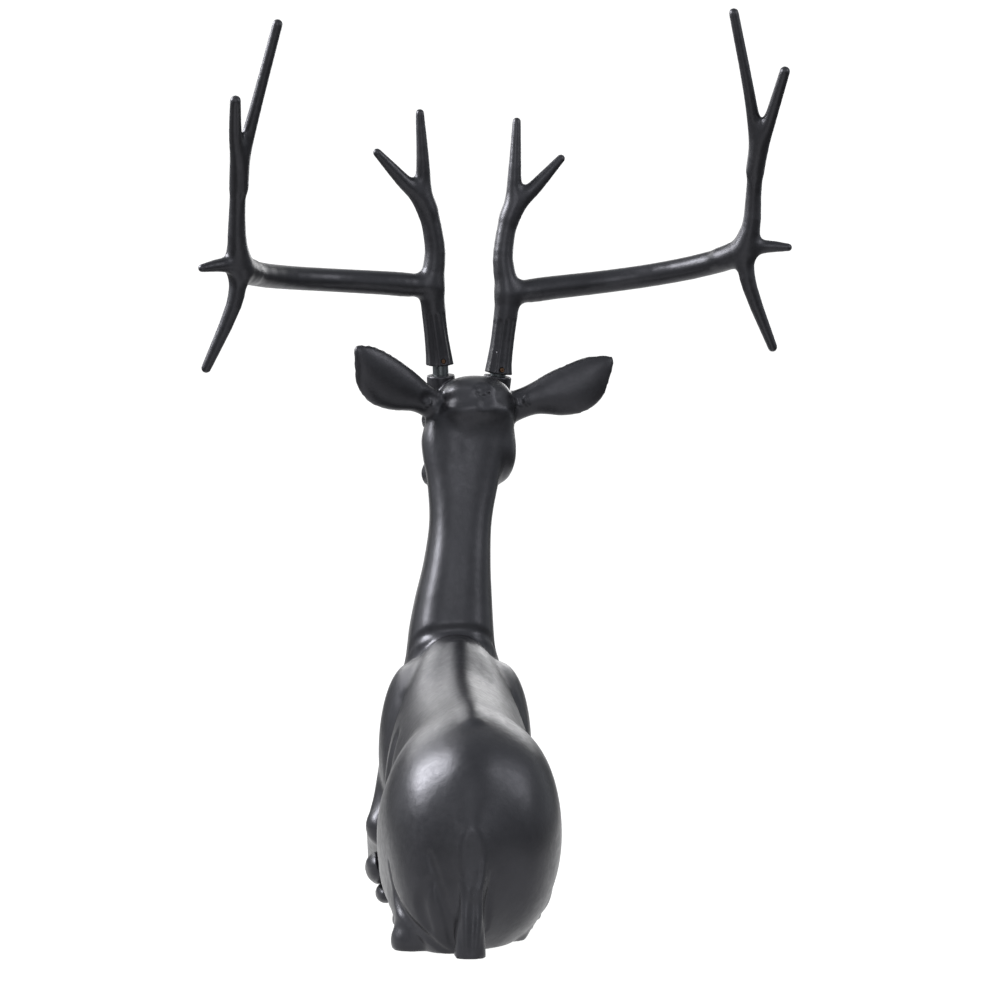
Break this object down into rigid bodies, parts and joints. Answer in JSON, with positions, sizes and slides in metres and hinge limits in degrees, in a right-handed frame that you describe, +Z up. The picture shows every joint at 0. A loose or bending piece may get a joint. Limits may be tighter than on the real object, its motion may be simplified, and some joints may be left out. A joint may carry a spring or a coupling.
{
  "type": "deer seating sculpture",
  "caption": "Life-size stag lying on the ground with its head raised, cast in blackened aluminium, with wide branching antlers that slip over posts on its head.",
  "frame": {"origin": "middle of the bounding box at the ground", "axes": "+Z up from the ground, +Y the way the stag faces, +X to the stag's right"},
  "size_m": [0.982, 1.0494, 1.4736],
  "materials": {
    "blackened_aluminium": "blackened and waxed, satin",
    "post_metal": "turned and blackened",
    "screw_brass": "worn"
  },
  "bodies": {
    "root": {"deer_body": "blackened_aluminium", "left_antler": "blackened_aluminium", "right_antler": "blackened_aluminium", "left_antler_post": "post_metal", "right_antler_post": "post_metal", "left_set_screw": "screw_brass", "right_set_screw": "screw_brass"}
  },
  "joints": []
}
